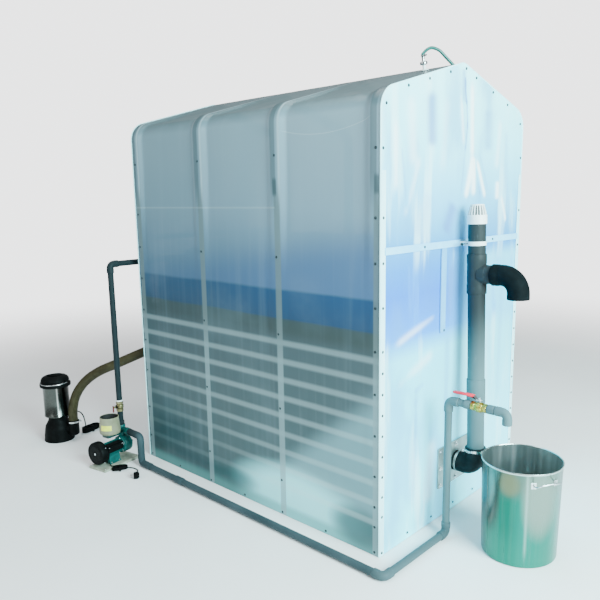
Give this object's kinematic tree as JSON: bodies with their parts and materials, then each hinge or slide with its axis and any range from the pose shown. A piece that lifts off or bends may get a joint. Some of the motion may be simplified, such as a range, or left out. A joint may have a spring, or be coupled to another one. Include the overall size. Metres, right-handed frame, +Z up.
{
  "type": "family-size biogas digester",
  "caption": "Gabled, translucent-sheeted biogas digester over a slatted frame and slurry bag, with an overflow standpipe, pump, food-waste disposer and a bucket under its outlet valve.",
  "frame": {"origin": "centre of the digester's base, on the floor", "axes": "+X along the length, towards the end wall with the standpipe; -Y towards the long side with the floor pipe; +Z up"},
  "size_m": [3.0687, 1.5426, 2.1515],
  "materials": {
    "milky_sheet": "translucent, slightly milky",
    "end_film": "glossy, slightly wrinkled",
    "zinc_frame": "galvanised",
    "bag_blue": "coated fabric",
    "bar_white": "satin",
    "steel": "bright",
    "grey_pipe": "satin",
    "white_plastic": "satin",
    "black_rubber": "glossy",
    "brass": "satin",
    "red_lever": "gloss",
    "green_enamel": "gloss",
    "black_plastic": "satin",
    "beige": "satin",
    "brown_hose": "satin",
    "dark_chrome": "polished",
    "green_hose": "satin"
  },
  "bodies": {
    "digester": {"base_frame": "zinc_frame", "rib_rear": "zinc_frame", "rib_mid_rear": "zinc_frame", "rib_mid_front": "zinc_frame", "rib_front": "zinc_frame", "slats_near": "zinc_frame", "slats_far": "zinc_frame", "slurry_bag": "bag_blue", "side_sheet_near": "milky_sheet", "side_sheet_far": "milky_sheet", "roof_sheet": "milky_sheet", "end_sheet_front": "end_film", "end_sheet_rear": "end_film", "front_bar": "bar_white", "rear_bar": "bar_white", "front_strap": "bar_white", "outlet_plate": "steel", "foot_elbow": "black_rubber", "standpipe_lower": "grey_pipe", "standpipe_tee": "grey_pipe", "standpipe_upper": "grey_pipe", "vent_cap": "white_plastic", "side_elbow": "black_rubber", "pipe_strap": "white_plastic", "pump_outlet_pipe": "grey_pipe", "floor_pipe_side": "grey_pipe", "floor_pipe_end": "grey_pipe", "riser_pipe": "grey_pipe", "front_valve": "brass", "spout": "grey_pipe", "rear_pipe": "grey_pipe", "rear_valve": "brass", "pump_inlet_pipe": "grey_pipe", "pump_head": "green_enamel", "pump_motor": "green_enamel", "fan_cover": "black_plastic", "pump_board": "beige", "priming_pot": "beige", "pump_cord_lead": "black_plastic", "pump_cord_hank": "black_plastic", "pump_cord_tail": "black_plastic", "pump_plug": "black_plastic", "waste_hose": "brown_hose", "disposer_base": "black_plastic", "disposer_body": "dark_chrome", "disposer_lid": "black_plastic", "disposer_cord_lead": "black_plastic", "disposer_cord_hank": "black_plastic", "disposer_plug": "black_plastic", "gas_outlet": "steel", "gas_hose": "green_hose", "bucket": "steel", "bucket_handle_near": "steel", "bucket_handle_far": "steel"},
    "front_lever": {"front_valve_lever": "red_lever"},
    "rear_lever": {"rear_valve_lever": "red_lever"}
  },
  "joints": [
    {"name": "front_valve_turn", "type": "hinge", "parent": "digester", "child": "front_lever", "pos_m": [1.1115, -0.26, 0.667], "axis": [0, 0, 1], "range_deg": [0, 90]},
    {"name": "rear_valve_turn", "type": "hinge", "parent": "digester", "child": "rear_lever", "pos_m": [-0.945, -0.768, 0.316], "axis": [0, 1, 0], "range_deg": [0, 90]}
  ]
}
